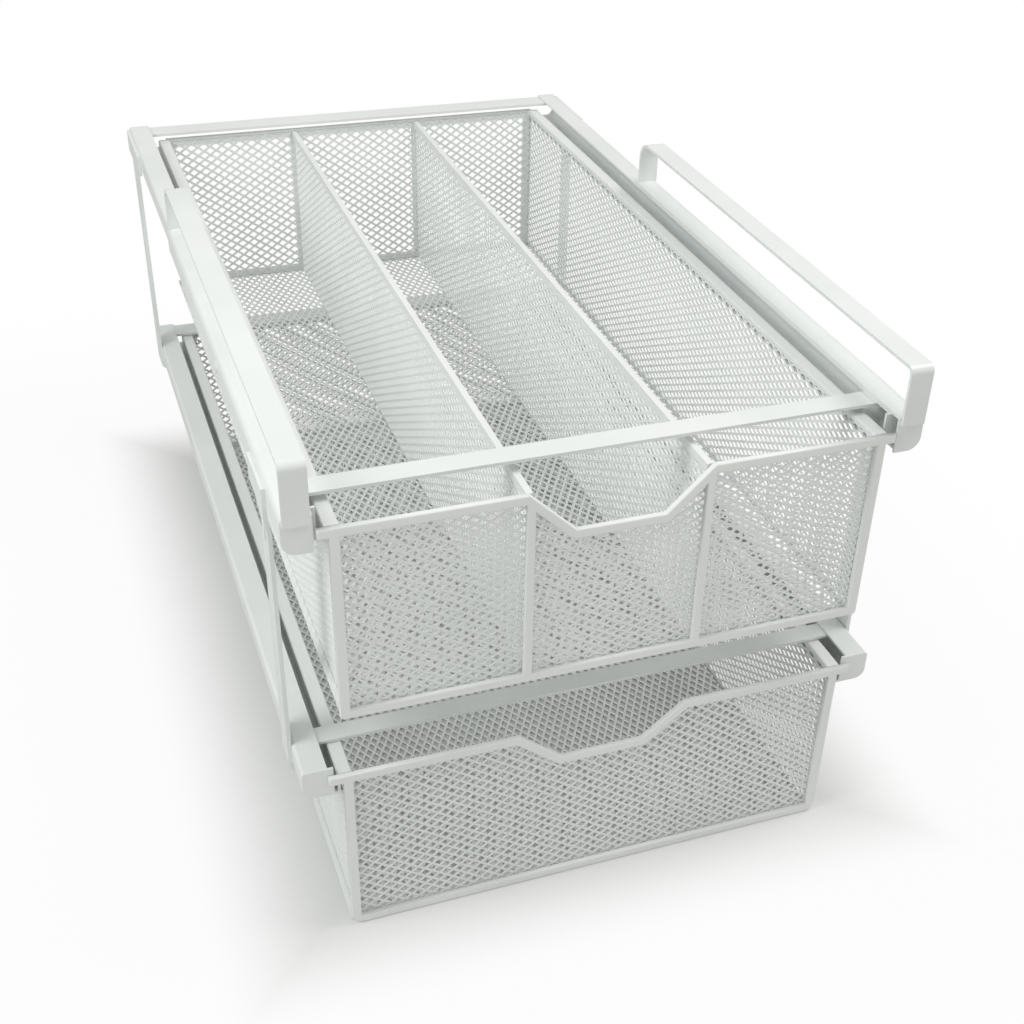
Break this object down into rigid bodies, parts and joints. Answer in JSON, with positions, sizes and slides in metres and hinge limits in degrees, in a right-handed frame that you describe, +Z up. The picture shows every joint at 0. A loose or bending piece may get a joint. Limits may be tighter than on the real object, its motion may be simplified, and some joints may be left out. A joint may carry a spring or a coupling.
{
  "type": "under shelf basket",
  "caption": "Two-tier under shelf basket: a steel frame hangs from a shelf board by strap loops and carries sliding mesh drawers, the upper one divided.",
  "frame": {"origin": "middle of the footprint, on the surface under the lower basket", "axes": "+X to the right seen from the front, +Y to the rear, +Z up"},
  "size_m": [0.286, 0.468, 0.258],
  "materials": {
    "white_coat": "satin white powder coat over sheet and wire steel"
  },
  "bodies": {
    "frame": {"front_left_leg": "white_coat", "front_right_leg": "white_coat", "left_hanger_sleeve": "white_coat", "left_hanger_strap": "white_coat", "lower_front_crossbar": "white_coat", "lower_left_rail": "white_coat", "lower_rear_crossbar": "white_coat", "lower_right_rail": "white_coat", "rear_left_leg": "white_coat", "rear_right_leg": "white_coat", "right_hanger_sleeve": "white_coat", "right_hanger_strap": "white_coat", "sleeve_rivets": "white_coat", "upper_front_crossbar": "white_coat", "upper_left_rail": "white_coat", "upper_rear_crossbar": "white_coat", "upper_right_rail": "white_coat"},
    "upper_basket": {"left_divider_mesh": "white_coat", "left_divider_top_wire": "white_coat", "right_divider_mesh": "white_coat", "right_divider_top_wire": "white_coat", "upper_basket_floor_mesh": "white_coat", "upper_basket_front_frame": "white_coat", "upper_basket_front_mesh": "white_coat", "upper_basket_left_base_wire": "white_coat", "upper_basket_left_mesh": "white_coat", "upper_basket_left_runner": "white_coat", "upper_basket_rear_frame": "white_coat", "upper_basket_rear_mesh": "white_coat", "upper_basket_right_base_wire": "white_coat", "upper_basket_right_mesh": "white_coat", "upper_basket_right_runner": "white_coat"},
    "lower_basket": {"lower_basket_floor_mesh": "white_coat", "lower_basket_front_frame": "white_coat", "lower_basket_front_mesh": "white_coat", "lower_basket_left_base_wire": "white_coat", "lower_basket_left_mesh": "white_coat", "lower_basket_left_runner": "white_coat", "lower_basket_rear_frame": "white_coat", "lower_basket_rear_mesh": "white_coat", "lower_basket_right_base_wire": "white_coat", "lower_basket_right_mesh": "white_coat", "lower_basket_right_runner": "white_coat"}
  },
  "joints": [
    {"name": "upper_basket_slide", "type": "slide", "parent": "frame", "child": "upper_basket", "axis": [0, -1, 0], "range_m": [0, 0.3]},
    {"name": "lower_basket_slide", "type": "slide", "parent": "frame", "child": "lower_basket", "axis": [0, -1, 0], "range_m": [0, 0.3]}
  ]
}
